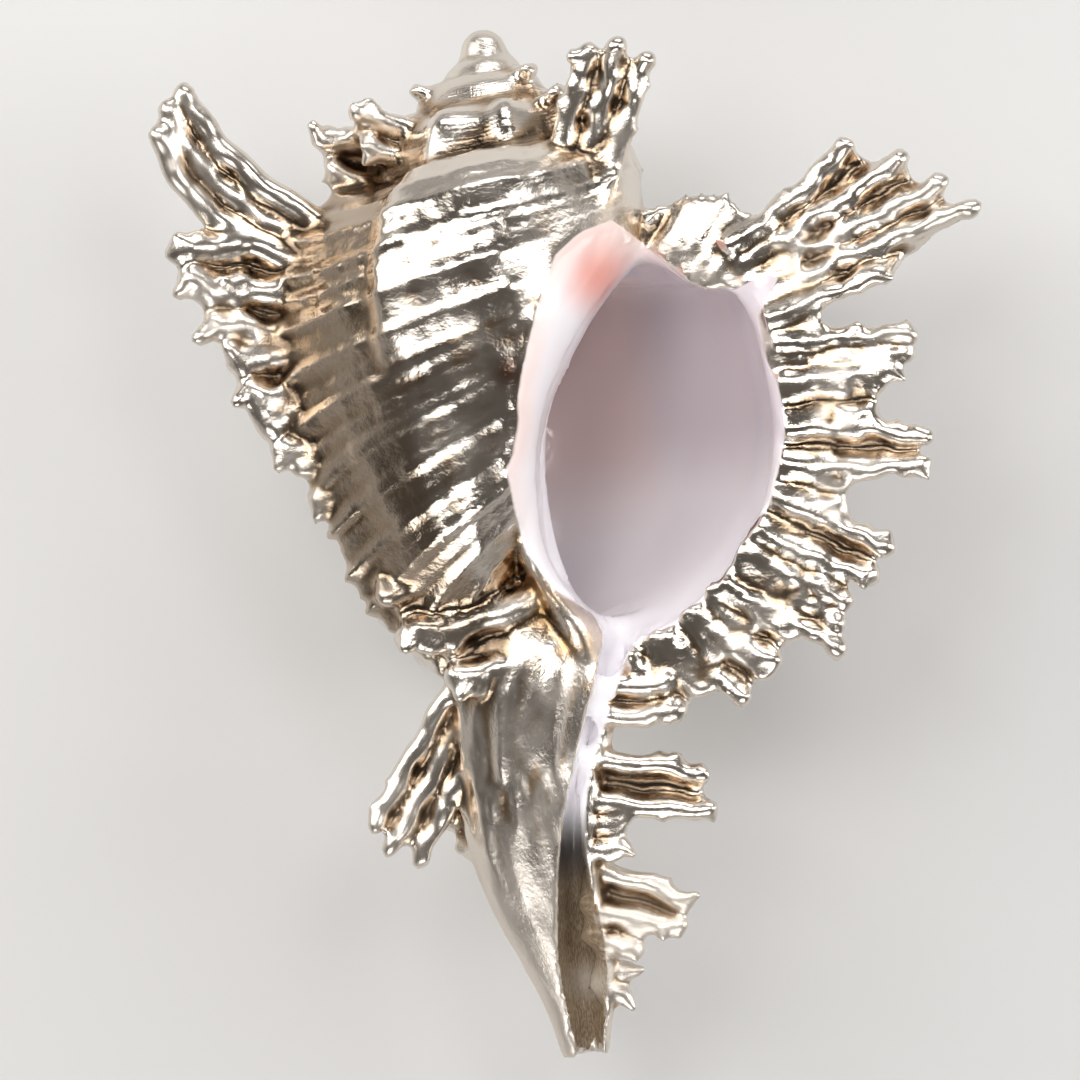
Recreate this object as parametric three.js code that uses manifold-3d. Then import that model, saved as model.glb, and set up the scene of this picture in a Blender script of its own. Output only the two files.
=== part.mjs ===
import * as THREE from "three";
import { mergeVertices } from "three/addons/utils/BufferGeometryUtils.js";
import Module from "manifold-3d";

// A ramose murex shell that lies on its back, mouth up: +X to the lip side, +Y to the spire, +Z up.
// It is one grown piece: a tube that coils down an axis and ends in the mouth and a long open canal,
// with ribs of branched fronds (varices) where growth paused.

// Driving dimensions, in millimetres and degrees.
const APEX = new THREE.Vector3(-11.8, 102.6, 66); // the tip of the spire
const AXIS_LEAN = 6; // the coiling axis runs from the apex to the canal, this much off -Y towards +X
const TURN_GROWTH = 1.6; // how much larger each turn is than the one before
const SPURT_GROWTH = 1.22; // and the last turn grew by this much more, in a spurt
const SPURT_FROM = 1; // that began and ended this many turns back
const SPURT_TO = 0.5;
const TURNS = 4.5;
const MIDDLE = new THREE.Vector3(5.8, 0.22, 0); // the middle of the shell's outline on the surface it lies on
const LIP_ANGLE = 15; // where the lip stands round the axis: 0 is the right side, 90 is up
const VARIX_SWELL = 2.6; // how far a varix stands out of the whorl at the lip's size
const STEPS_A_TURN = 24;
const HOLLOW_TURNS = 18 / STEPS_A_TURN; // how far back from the lip the living chamber is open
const APEX_KNOB_RADIUS = 3.6;

// The whorl's outer edge at the lip, from the seam with the turn above to the neck of the canal:
// [out from the axis, down from the apex].
const WHORL_EDGE = [
  [29, 41], [38, 43], [50, 51], [55, 62], [57, 74], [55, 88],
  [50, 101], [43, 114], [35, 122], [27, 127], [18, 130],
];
const WHORL_EDGE_STEPS = 12;
// Its inner edge, from the neck back up the columella to the seam.
const WHORL_INNER_EDGE = [[11, 127], [5, 116], [2, 100], [1.5, 84], [5, 68], [13, 54], [21, 45]];
// The chamber inside it, from the seam round by the lip and back up the columella.
const CHAMBER_EDGE = [
  [24, 46], [33, 53], [40, 57.5], [46, 59], [49.5, 66], [51.5, 76], [51.8, 86], [49.5, 97],
  [44, 108], [36, 117], [27, 123.5], [17, 127], [9, 121], [5, 110], [4, 96], [5, 82], [10, 70], [16, 57],
];

// Varices, by turns back from the lip.
const DORSAL_VARIX = 7 / STEPS_A_TURN;
const LEFT_VARIX = 14 / STEPS_A_TURN;
const SPIRE_VARIX = 22 / STEPS_A_TURN;
const VARICES = [0, DORSAL_VARIX, LEFT_VARIX, SPIRE_VARIX, 1.25, 1.583, 1.917, 2.25, 2.583, 2.917];

// Fronds of a varix at the lip's size: where along the whorl's edge (0 seam, 1 neck), length,
// lean down the axis in degrees, half width at the root.
const LIP_FRONDS = [
  { at: 0.235, length: 43, lean: 8, half: 9.5 },
  { at: 0.2, length: 32, lean: -22, half: 6 },
  { at: 0.39, length: 25, lean: 0, half: 4.6 },
  { at: 0.45, length: 15, lean: 4, half: 3 },
  { at: 0.51, length: 27, lean: -4, half: 4.6 },
  { at: 0.58, length: 13, lean: -5, half: 3 },
  { at: 0.635, length: 24, lean: 9, half: 4.4 },
  { at: 0.7, length: 12, lean: 5, half: 3 },
  { at: 0.76, length: 21, lean: 0, half: 4.2 },
  { at: 0.85, length: 15, lean: -12, half: 3.6 },
  { at: 0.91, length: 18, lean: -16, half: 3.6 },
  { at: 0.98, length: 12, lean: -10, half: 3 },
];
const LEFT_FRONDS = [
  { at: 0.22, length: 46, lean: -22, half: 10 },
  { at: 0.36, length: 36, lean: -14, half: 5 },
  { at: 0.44, length: 28, lean: -8, half: 5 },
  { at: 0.54, length: 24, lean: -4, half: 5 },
  { at: 0.64, length: 22, lean: -4, half: 4.6 },
  { at: 0.74, length: 20, lean: -4, half: 4.4 },
  { at: 0.85, length: 17, lean: -6, half: 4 },
];
const SPIRE_FRONDS = [
  { at: 0.2, length: 46, lean: -55, half: 13 },
  { at: 0.14, length: 30, lean: -80, half: 6 },
];
const SMALL_HORN = [{ at: 0.2, length: 22, lean: -20, half: 8 }];

// Fronds on the back reach the surface that the shell lies on: where along the whorl's edge,
// and where the tip touches down.
const DORSAL_FRONDS = [
  { at: 0.17, x: -40, y: 62, half: 6 },
  { at: 0.24, x: -8, y: 68, half: 6.5 },
  { at: 0.42, x: 12, y: 44, half: 4.2 },
  { at: 0.55, x: 20, y: 22, half: 4.4 },
  { at: 0.68, x: 17, y: 2, half: 4 },
  { at: 0.82, x: 12, y: -22, half: 4 },
];
const WORN_BELOW = 1.2; // tips on the back run this far past the surface, and are worn flat at it

// The canal: stations down the axis with the left and right edges, the middle height and half depth.
const CANAL = [
  { down: 78, left: -26, right: -2, middle: 8, half: 13 },
  { down: 92, left: -23, right: 1, middle: 7, half: 15 },
  { down: 106, left: -18, right: 7, middle: 5, half: 15 },
  { down: 118, left: -17, right: 15, middle: 2, half: 14 },
  { down: 128, left: -20, right: 18, middle: 1, half: 14 },
  { down: 140, left: -20.5, right: 13.5, middle: 0, half: 13 },
  { down: 152, left: -20, right: 10.5, middle: -1, half: 11.5 },
  { down: 165, left: -18.5, right: 7.5, middle: -2, half: 10 },
  { down: 176, left: -15.5, right: 6.5, middle: -3, half: 8.2 },
  { down: 187, left: -10.5, right: 7, middle: -4, half: 6.8 },
  { down: 197, left: -6.5, right: 6, middle: -5, half: 5.2 },
  { down: 205.5, left: -4, right: 4, middle: -6, half: 3.6 },
];
// The open slit in the canal: middle and half width, and the height of its floor.
const SLIT = [
  { down: 112, middle: 17, half: 5, floor: -6 },
  { down: 124, middle: 15, half: 4, floor: -3 },
  { down: 132, middle: 11.5, half: 3.2, floor: -1 },
  { down: 142, middle: 7.5, half: 3.2, floor: 0 },
  { down: 153, middle: 3.2, half: 2.4, floor: 0 },
  { down: 168, middle: 0.8, half: 2.8, floor: -2 },
  { down: 187, middle: 0.7, half: 4.8, floor: -6 },
  { down: 199, middle: 0.3, half: 2.8, floor: -7.5 },
  { down: 208, middle: 0, half: 2.4, floor: -8.5 },
];
// The columella, the pillar that the whorls turn round, down the left of the mouth.
const COLUMELLA = [
  { down: 44, left: 2, right: 13, middle: 14, half: 14 },
  { down: 56, left: -2, right: 11, middle: 13, half: 15 },
  { down: 70, left: -5, right: 6, middle: 9, half: 17 },
  { down: 84, left: -6, right: 3, middle: 5, half: 17 },
  { down: 98, left: -5.5, right: 3, middle: 3, half: 16 },
  { down: 110, left: -4, right: 6, middle: 2, half: 15 },
  { down: 120, left: 0, right: 12, middle: 1, half: 14 },
  { down: 128, left: 3, right: 11, middle: 0, half: 12 },
];
// Fronds on the rim of the canal and on the stubs of older canals beside it:
// root and tip as [down, out to the right, height], half width at the root.
const CANAL_FRONDS = [
  { root: [139, 9, 4], tip: [138, 25, 8], half: 3.2 },
  { root: [154, 6, 3], tip: [157, 31, 6], half: 4.6 },
  { root: [165, 4, 2], tip: [164.5, 12, 4], half: 2.6 },
  { root: [176, 4, -1], tip: [181, 24, 2], half: 5 },
  { root: [181, 4, -2], tip: [187, 15, 0], half: 3.4 },
  { root: [193, 3, -4], tip: [196, 10, -4], half: 3 },
  { root: [98, -10, 4], tip: [98, -28, 6], half: 3.8 },
  { root: [112, -8, 6], tip: [116, -31, 8], half: 4.6 },
  { root: [121, -6, 6], tip: [127, -23, 12], half: 5 },
  { root: [134, -14, 2], tip: [163, -36, 4], half: 6.5 },
  { root: [140, -12, -2], tip: [166, -26, -6], half: 4 },
];
const UMBILICUS = [[116, 3, 19], [124, -3, 17], [133, -11, 14]]; // a dent beside the columella
const UMBILICUS_RADIUS = 4;

const MERGE_WITHIN = 0.001;
const FROND_ARC_POINTS = 4;
const FROND_STEPS = 3;
const FROND_OPENS = 100; // half angle of the frond's channelled wall
const FROND_WALL = 0.42; // wall as a share of the half width
const FROND_TIP_WIDTH = 0.5;

const wasm = await Module();
wasm.setup();

const radians = THREE.MathUtils.degToRad;
const DOWN = new THREE.Vector3(Math.sin(radians(AXIS_LEAN)), -Math.cos(radians(AXIS_LEAN)), 0);
const RIGHT = new THREE.Vector3(Math.cos(radians(AXIS_LEAN)), Math.sin(radians(AXIS_LEAN)), 0);
const UP = new THREE.Vector3(0, 0, 1);

// A point given down the axis, out to the right of it and up from it.
function besideAxis(down, right, up) {
  return APEX.clone().addScaledVector(DOWN, down).addScaledVector(RIGHT, right).addScaledVector(UP, up);
}

// A point given down the axis, out from it and by its angle round it.
function roundAxis(down, out, angle) {
  return besideAxis(down, out * Math.cos(radians(angle)), out * Math.sin(radians(angle)));
}

// A closed solid through a stack of rings with as many points each. Each end is closed by a strip
// across its ring, so a ring may be a C as well as a round.
function solidThrough(rings) {
  const count = rings[0].length;
  const positions = rings.flat().flatMap((p) => p.toArray());
  const faces = [];
  for (let i = 0; i + 1 < rings.length; i++)
    for (let j = 0; j < count; j++) {
      const a = i * count + j;
      const b = i * count + ((j + 1) % count);
      faces.push(a, b, b + count, a, b + count, a + count);
    }
  const last = (rings.length - 1) * count;
  for (let j = 0; j < count / 2 - 1; j++) {
    const k = count - 1 - j;
    faces.push(j + 1, j, k, j + 1, k, k - 1);
    faces.push(last + j, last + j + 1, last + k, last + j + 1, last + k - 1, last + k);
  }
  const shape = new THREE.BufferGeometry();
  shape.setAttribute("position", new THREE.Float32BufferAttribute(positions, 3));
  shape.setIndex(faces);
  return solidOf(shape);
}

// A closed geometry as a solid, turned face out if its rings ran the other way round.
function solidOf(geometry) {
  geometry.deleteAttribute("normal");
  geometry.deleteAttribute("uv");
  const merged = mergeVertices(geometry, MERGE_WITHIN);
  const vertProperties = new Float32Array(merged.attributes.position.array);
  const triVerts = new Uint32Array(merged.index.array);
  const solid = new wasm.Manifold(new wasm.Mesh({ numProp: 3, vertProperties, triVerts }));
  if (solid.volume() > 0) return solid;
  for (let i = 0; i < triVerts.length; i += 3)
    [triVerts[i + 1], triVerts[i + 2]] = [triVerts[i + 2], triVerts[i + 1]];
  return new wasm.Manifold(new wasm.Mesh({ numProp: 3, vertProperties, triVerts }));
}

const joined = (solids) => solids.reduce((all, one) => all.add(one));

const whorlEdge = new THREE.SplineCurve(WHORL_EDGE.map(([out, down]) => new THREE.Vector2(out, down)));
const whorlSection = [
  ...whorlEdge.getSpacedPoints(WHORL_EDGE_STEPS),
  ...WHORL_INNER_EDGE.map(([out, down]) => new THREE.Vector2(out, down)),
];
const chamberSection = CHAMBER_EDGE.map(([out, down]) => new THREE.Vector2(out, down));

// The shell's size at a place along its growth, as a share of its size at the lip.
function sizeAt(turnsBack) {
  const spurt = THREE.MathUtils.smoothstep(turnsBack, SPURT_TO, SPURT_FROM);
  return TURN_GROWTH ** -turnsBack * SPURT_GROWTH ** -spurt;
}

const angleAt = (turnsBack) => LIP_ANGLE - 360 * turnsBack;

// How far the whorl swells out at a place along its growth.
function swellAt(turnsBack) {
  const nearest = Math.min(...VARICES.map((varix) => Math.abs(turnsBack - varix)));
  return VARIX_SWELL * Math.max(0, 1 - nearest * STEPS_A_TURN);
}

// A stretch of a coiled tube between two places along its growth. Its section grows with the shell,
// and swells out from its own middle at the varices where swell is true.
function coil(section, from, to, steps, swell) {
  const middle = new THREE.Vector2(20, 85);
  const rings = [];
  for (let i = 0; i <= steps; i++) {
    const turnsBack = from + ((to - from) * i) / steps;
    const size = sizeAt(turnsBack);
    const outward = swell ? swellAt(turnsBack) : 0;
    rings.push(
      section.map((point) => {
        const way = point.clone().sub(middle).normalize();
        const out = Math.max(1, point.x + way.x * outward) * size;
        return roundAxis((point.y + way.y * outward) * size, out, angleAt(turnsBack));
      }),
    );
  }
  return solidThrough(rings);
}

const whorl = (from, to, steps, swell) => coil(whorlSection, from, to, steps, swell);

// An oval bar along the axis, from stations with left and right edges, middle height and half depth.
function ovalBar(stations, points) {
  return solidThrough(
    stations.map(({ down, left, right, middle, half }) =>
      Array.from({ length: points }, (_, i) => {
        const turn = (2 * Math.PI * (i + 0.5)) / points;
        const across = (left + right) / 2 + ((right - left) / 2) * Math.cos(turn);
        return besideAxis(down, across, middle + half * Math.sin(turn));
      }),
    ),
  );
}

// The slit's cutter: a trough with a round floor and walls that run up past the canal.
function slitCutter() {
  const floorPoints = 6;
  const top = 40;
  return solidThrough(
    SLIT.map(({ down, middle, half, floor }) => {
      const ring = Array.from({ length: floorPoints }, (_, i) => {
        const turn = Math.PI * (1 + i / (floorPoints - 1));
        return besideAxis(down, middle + half * Math.cos(turn), floor + half + half * Math.sin(turn));
      });
      return [besideAxis(down, middle - half, top), ...ring, besideAxis(down, middle + half, top)];
    }),
  );
}

// A frond: a channel that tapers from its root to its tip, open to one side.
function frond(root, tip, opensTo, half) {
  const along = tip.clone().sub(root).normalize();
  const open = opensTo.clone().addScaledVector(along, -opensTo.dot(along)).normalize();
  const across = along.clone().cross(open);
  const rings = [];
  for (let i = 0; i <= FROND_STEPS; i++) {
    const share = i / FROND_STEPS;
    const width = half * (1 + (FROND_TIP_WIDTH - 1) * share ** 1.3);
    const curl = tip.distanceTo(root) * 0.12 * Math.sin(Math.PI * share);
    const centre = root.clone().lerp(tip, share).addScaledVector(open, -curl);
    const arc = (radius) =>
      Array.from({ length: FROND_ARC_POINTS }, (_, j) => {
        const turn = radians(FROND_OPENS) * ((2 * j) / (FROND_ARC_POINTS - 1) - 1);
        return centre
          .clone()
          .addScaledVector(across, radius * Math.sin(turn))
          .addScaledVector(open, -radius * 0.8 * Math.cos(turn));
      });
    rings.push([...arc(width), ...arc(width * (1 - FROND_WALL)).reverse()]);
  }
  return solidThrough(rings);
}

// Where a frond springs from a varix, which way is out and down there, and which way it opens.
function varixPlace(turnsBack, at) {
  const size = sizeAt(turnsBack);
  const angle = angleAt(turnsBack);
  const point = whorlEdge.getPointAt(at);
  const tangent = whorlEdge.getTangentAt(at);
  const origin = roundAxis(0, 0, 0);
  return {
    size,
    root: roundAxis(point.y * size, point.x * size, angle),
    out: roundAxis(-tangent.x, tangent.y, angle).sub(origin),
    down: roundAxis(tangent.y, tangent.x, angle).sub(origin),
    opensTo: roundAxis(0, 1, angle + 90).sub(origin),
  };
}

function varixFronds(turnsBack, fronds) {
  return fronds.map(({ at, length, lean, half }) => {
    const { size, root, out, down, opensTo } = varixPlace(turnsBack, at);
    const way = out.multiplyScalar(Math.cos(radians(lean))).addScaledVector(down, Math.sin(radians(lean)));
    const tip = root.clone().addScaledVector(way, length * size);
    return frond(root.addScaledVector(way, -1.5), tip, opensTo, half * size);
  });
}

function dorsalFronds() {
  return DORSAL_FRONDS.map(({ at, x, y, half }) => {
    const { size, root, out, opensTo } = varixPlace(DORSAL_VARIX, at);
    return frond(root.addScaledVector(out, -2), new THREE.Vector3(x, y, -WORN_BELOW), opensTo, half * size);
  });
}

function canalFronds() {
  return CANAL_FRONDS.map(({ root, tip, half }) =>
    frond(besideAxis(...root), besideAxis(...tip), UP, half),
  );
}

function ball(centre, radius) {
  const shape = new THREE.SphereGeometry(radius, 10, 7);
  shape.translate(...centre.toArray());
  return solidOf(shape);
}

// What the surface that the shell lies on has worn away.
function wornAway() {
  const block = new THREE.BoxGeometry(400, 400, 40);
  block.translate(0, 0, -20);
  return solidOf(block);
}

function makeShell() {
  const lastWhorl = whorl(0, HOLLOW_TURNS, 18, true);
  const chamber = coil(chamberSection, -0.03, HOLLOW_TURNS - 0.01, 15, false);
  const olderWhorls = [
    whorl(HOLLOW_TURNS, 1.25, 12, true),
    whorl(1.25, 1.75, 7, false),
    whorl(1.75, 2.25, 6, false),
    whorl(2.25, 3, 7, false),
    whorl(3, 3.75, 6, false),
    whorl(3.75, TURNS, 5, false),
  ];
  const canal = ovalBar(CANAL, 14);
  const hollowed = lastWhorl.add(canal).subtract(chamber);
  const umbilicus = joined(UMBILICUS.map((place) => ball(besideAxis(...place), UMBILICUS_RADIUS)));
  const body = joined([hollowed, ...olderWhorls, ovalBar(COLUMELLA, 12)])
    .subtract(slitCutter())
    .subtract(umbilicus);
  const fronds = [
    ...varixFronds(0, LIP_FRONDS),
    ...varixFronds(LEFT_VARIX, LEFT_FRONDS),
    ...varixFronds(SPIRE_VARIX, SPIRE_FRONDS),
    ...VARICES.slice(4).flatMap((varix) => varixFronds(varix, SMALL_HORN)),
    ...dorsalFronds(),
    ...canalFronds(),
  ];
  const knob = ball(besideAxis(APEX_KNOB_RADIUS, 0, 0), APEX_KNOB_RADIUS);
  return outerSkin(joined([body, knob, ...fronds]).subtract(wornAway()));
}

// Pockets that crossing fronds close off inside the wall are filled: only the outer skin is kept.
function outerSkin(solid) {
  const bodies = solidOf(geometryOf(solid)).decompose();
  return bodies.reduce((most, one) => (one.volume() > most.volume() ? one : most));
}

function geometryOf(solid) {
  const { vertProperties, triVerts, numProp } = solid.getMesh();
  const positions = new Float32Array((vertProperties.length / numProp) * 3);
  for (let i = 0; i < positions.length / 3; i++)
    positions.set(vertProperties.subarray(i * numProp, i * numProp + 3), i * 3);
  const shape = new THREE.BufferGeometry();
  shape.setAttribute("position", new THREE.BufferAttribute(positions, 3));
  shape.setIndex(new THREE.BufferAttribute(triVerts, 1));
  return shape;
}

function meshOf(name, solid, material) {
  const shape = geometryOf(solid);
  shape.computeVertexNormals();
  const mesh = new THREE.Mesh(shape, material);
  mesh.name = name;
  return mesh;
}

const silverPlate = new THREE.MeshStandardMaterial({ color: 0xc9c2b4, roughness: 0.2, metalness: 1 });

const murexShell = new THREE.Group();
murexShell.position.copy(MIDDLE).negate();
murexShell.add(meshOf("shell", makeShell(), silverPlate));

export default murexShell;
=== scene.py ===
import math

import bpy
import numpy as np
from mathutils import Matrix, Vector, noise


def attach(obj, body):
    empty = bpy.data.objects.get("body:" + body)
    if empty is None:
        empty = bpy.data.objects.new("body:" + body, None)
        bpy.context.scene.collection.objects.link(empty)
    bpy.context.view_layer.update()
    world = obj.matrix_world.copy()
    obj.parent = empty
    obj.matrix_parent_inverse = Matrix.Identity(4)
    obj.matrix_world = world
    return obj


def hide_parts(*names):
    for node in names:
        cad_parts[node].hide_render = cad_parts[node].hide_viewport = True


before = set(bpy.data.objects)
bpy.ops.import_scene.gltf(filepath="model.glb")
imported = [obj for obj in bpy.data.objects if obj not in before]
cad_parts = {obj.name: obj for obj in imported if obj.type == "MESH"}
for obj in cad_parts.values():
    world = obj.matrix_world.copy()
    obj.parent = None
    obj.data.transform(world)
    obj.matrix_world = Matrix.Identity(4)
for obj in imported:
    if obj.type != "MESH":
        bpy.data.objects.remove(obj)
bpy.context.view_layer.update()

# ---------------------------------------------------------------------------
# The growing tube. A murex shell is a tube of aragonite that the animal lays down at its mouth as it
# turns round one axis: each turn is larger than the last, and the newest one ends in the lip.
# Sizes here are in millimetres, from the tip of the spire.
# ---------------------------------------------------------------------------
MM = 0.001
MIDDLE = np.array([5.8, 0.22, 0.0])
APEX = np.array([-11.8, 102.6, 66.0]) - MIDDLE
AXIS_LEAN = math.radians(6)
DOWN = np.array([math.sin(AXIS_LEAN), -math.cos(AXIS_LEAN), 0.0])
RIGHT = np.array([math.cos(AXIS_LEAN), math.sin(AXIS_LEAN), 0.0])
UP = np.array([0.0, 0.0, 1.0])
LIP_ANGLE = 15
TURN_GROWTH = 1.6
SPURT_GROWTH = 1.22
SPURT_FROM, SPURT_TO = 1.0, 0.5

DORSAL_VARIX = 7 / 24
LEFT_VARIX = 14 / 24
SPIRE_VARIX = 22 / 24
VARICES = (0.0, DORSAL_VARIX, LEFT_VARIX, SPIRE_VARIX, 1.25, 1.583, 1.917, 2.25, 2.583, 2.917)


def smooth_step(low, high, value):
    share = np.clip((value - low) / (high - low), 0, 1)
    return share * share * (3 - 2 * share)


def beside_axis(down, right, up):
    """Points given down the axis, out to the right of it and up from it."""
    down, right, up = (np.asarray(v, float)[..., None] for v in (down, right, up))
    return APEX + down * DOWN + right * RIGHT + up * UP


def round_axis(down, out, angle):
    """Points given down the axis, out from it, and by their angle round it in degrees."""
    turn = np.radians(angle)
    return beside_axis(down, out * np.cos(turn), out * np.sin(turn))


def size_at(turns_back):
    spurt = smooth_step(SPURT_TO, SPURT_FROM, turns_back)
    return TURN_GROWTH ** -turns_back * SPURT_GROWTH ** -spurt


def angle_at(turns_back):
    return LIP_ANGLE - 360 * turns_back


def stretched(down, turns_back):
    """The base of the last whorl reaches further down than the turns before it."""
    share = 0.28 * smooth_step(0.05, 0.5, turns_back) * (1 - smooth_step(0.82, 1.02, turns_back))
    return down * (1 + share * smooth_step(58, 118, down))


def bell(value, middle, width):
    return np.exp(-(((value - middle) / width) ** 2))


def smooth_line(points, count):
    """count points, evenly spaced along a smooth line through the given ones."""
    points = np.asarray(points, float)
    knots = np.vstack([2 * points[:1] - points[1:2], points, 2 * points[-1:] - points[-2:-1]])
    fine = []
    share = np.linspace(0, 1, 16, endpoint=False)[:, None]
    for i in range(len(points) - 1):
        a, b, c, d = knots[i : i + 4]
        fine.append(
            0.5 * (2 * b + (c - a) * share + (2 * a - 5 * b + 4 * c - d) * share**2
                   + (3 * b - a - 3 * c + d) * share**3)
        )
    fine = np.vstack(fine + [points[-1:]])
    length = np.concatenate([[0], np.cumsum(np.linalg.norm(np.diff(fine, axis=0), axis=1))])
    wanted = np.linspace(0, length[-1], count)
    return np.stack([np.interp(wanted, length, fine[:, k]) for k in range(points.shape[1])], axis=1)


def deselect_all():
    for other in bpy.context.selected_objects:
        other.select_set(False)


def select_only(piece):
    deselect_all()
    piece.select_set(True)
    bpy.context.view_layer.objects.active = piece


def skin_grid(name, points, round_across=False, caps=False):
    """A grid primitive laid over points (rows, columns, 3) in millimetres.
    round_across closes each row into a ring, and caps closes the two ends of the tube."""
    rows, columns = points.shape[:2]
    if round_across:
        points = np.concatenate([points, points[:, :1]], axis=1)
        columns += 1
    deselect_all()
    bpy.ops.mesh.primitive_grid_add(x_subdivisions=columns - 1, y_subdivisions=rows - 1, size=1)
    piece = bpy.context.object
    piece.name = name
    piece.data.vertices.foreach_set("co", (points.reshape(-1, 3) * MM).astype(np.float32).ravel())
    piece.data.update()
    if round_across or caps:
        bpy.ops.object.mode_set(mode="EDIT")
        bpy.ops.mesh.select_all(action="SELECT")
        if round_across:
            bpy.ops.mesh.remove_doubles(threshold=1e-6)
        if caps:
            bpy.ops.mesh.select_all(action="DESELECT")
            bpy.ops.mesh.select_non_manifold()
            bpy.ops.mesh.fill_holes(sides=0)
            bpy.ops.mesh.select_all(action="SELECT")
            bpy.ops.mesh.normals_make_consistent(inside=False)
        bpy.ops.object.mode_set(mode="OBJECT")
    return piece


WHORL_EDGE = [
    (29, 41), (38, 43), (50, 51), (55, 62), (57, 74), (55, 88),
    (50, 101), (43, 114), (35, 122), (27, 127), (18, 130),
]
WHORL_INNER_EDGE = [(11, 127), (5, 116), (2, 100), (1.5, 84), (5, 68), (13, 54), (21, 45)]
CHAMBER_EDGE = [
    (24, 46), (33, 53), (40, 57.5), (45.5, 58), (49, 65), (50.5, 76), (51, 86),
    (49, 97), (44, 107.5), (36, 116.5), (27, 122.5), (17, 126),
]
CHAMBER_INNER_EDGE = [(9, 121), (5, 110), (4, 96), (5, 82), (10, 70), (16, 57)]
EDGE_COLUMNS, INNER_COLUMNS = 170, 40

MAIN_CORDS = (0.235, 0.31, 0.39, 0.45, 0.51, 0.575, 0.635, 0.7, 0.76, 0.85, 0.92)
FINE_CORDS = (0.06, 0.12, 0.18, 0.27, 0.35, 0.42, 0.48, 0.545, 0.605, 0.668, 0.73, 0.805, 0.885, 0.96)
NODES = (  # turns back from the lip, height, width in turns
    (0.09, 3.0, 0.03), (0.185, 3.4, 0.03), (0.39, 3.0, 0.03), (0.475, 3.6, 0.028),
    (1.06, 4.0, 0.03), (1.16, 4.0, 0.03), (1.36, 5.6, 0.035), (1.47, 5.6, 0.035), (1.7, 6, 0.035),
    (1.81, 6, 0.035), (2.04, 6.5, 0.035), (2.14, 6.5, 0.035), (2.4, 6.5, 0.04), (2.5, 6.5, 0.04),
)
VARIX_HEIGHT = 5.2
PLATEAU_HEIGHT = 3.2  # the raised, blocky patch on the front of the body whorl


def closed_section(edge, inner, edge_columns, inner_columns):
    outer = smooth_line(edge, edge_columns)
    back = smooth_line([edge[-1], *inner, edge[0]], inner_columns + 2)[1:-1]
    return np.vstack([outer, back])


def outward_normals(section):
    along = np.roll(section, -1, axis=0) - np.roll(section, 1, axis=0)
    normals = np.stack([along[:, 1], -along[:, 0]], axis=1)
    return normals / np.linalg.norm(normals, axis=1)[:, None]


def ornament(turns_back, station):
    """How far the whorl's surface stands out, at the lip's size: varices, nodes and spiral cords."""
    near = np.zeros_like(turns_back)
    for varix in VARICES:
        apart = turns_back - varix
        behind = 0.62 * np.exp(-np.maximum(apart, 0) / 0.05) + 0.38 * bell(apart, 0, 0.02)
        near = np.maximum(near, np.where(apart > 0, behind, bell(apart, 0, 0.011)))
    height = VARIX_HEIGHT * near * smooth_step(0.0, 0.12, station)
    plateau = smooth_step(0.672, 0.69, turns_back + 0.03 * (station - 0.3))
    plateau = plateau * (1 - smooth_step(0.77, 0.86, turns_back))
    plateau = PLATEAU_HEIGHT * plateau
    height = height + plateau * smooth_step(0.04, 0.1, station) * (1 - smooth_step(0.46, 0.515, station))
    for middle, tall, wide in NODES:
        lean = 0.03 * (station - 0.3)
        apart = turns_back - middle + lean
        across = np.where(apart > 0, bell(apart, 0, wide), bell(apart, 0, 0.55 * wide))
        height = height + (
            tall * across * smooth_step(0.06, 0.2, station) * (1 - smooth_step(0.42, 0.62, station))
        )
    cords = sum(bell(station, at, 0.012) for at in MAIN_CORDS) * 1.15
    cords = cords + sum(bell(station, at, 0.008) for at in FINE_CORDS) * 0.6
    cords = cords + 0.2 * np.sin(2 * np.pi * 52 * station)
    wobble = 1 + 0.12 * np.sin(turns_back * 61 + station * 40 + 3 * np.sin(station * 13))
    wobble = wobble + 0.1 * np.sin(turns_back * 173 - station * 25)
    height = height + cords * wobble * (1 + 1.5 * near)
    growth = 0.07 * np.sin(turns_back * 380 + 6 * np.sin(station * 9))
    growth = growth + 0.09 * np.sin(turns_back * 137 + 5 * np.sin(station * 7))
    on_front = smooth_step(0.68, 0.7, turns_back) * (turns_back < 1.4)
    growth = growth * (1 + 1.6 * on_front)
    glazed = smooth_step(0.8, 0.85, turns_back) * smooth_step(0.3, 0.38, station) * (turns_back < 1.4)
    return (height + growth) * (station <= 1) * (1 - glazed)


def coil_points(edge, inner, turns, edge_columns, inner_columns, ornamented):
    section = closed_section(edge, inner, edge_columns, inner_columns)
    normals = outward_normals(section)
    station = np.concatenate([np.linspace(0, 1, edge_columns), np.full(inner_columns, 2.0)])
    turns = np.asarray(turns, float)[:, None]
    stand = ornament(turns + 0 * station, station + 0 * turns) if ornamented else 0 * turns
    size = size_at(turns)
    out = np.maximum(0.6, section[:, 0] + normals[:, 0] * stand) * size
    down = stretched(section[:, 1] + normals[:, 1] * stand, turns) * size
    return round_axis(down, out, angle_at(turns)), station


outer_turns = np.linspace(0.74, 0.0, 240)
outer_rows, station_of = coil_points(
    WHORL_EDGE, WHORL_INNER_EDGE, outer_turns, EDGE_COLUMNS, INNER_COLUMNS, True
)
chamber_turns = np.concatenate([np.linspace(0.0, 0.1, 14), np.linspace(0.11, 0.7, 58)])
chamber_rows, _ = coil_points(
    CHAMBER_EDGE, CHAMBER_INNER_EDGE, chamber_turns, EDGE_COLUMNS, INNER_COLUMNS, False
)

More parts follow.
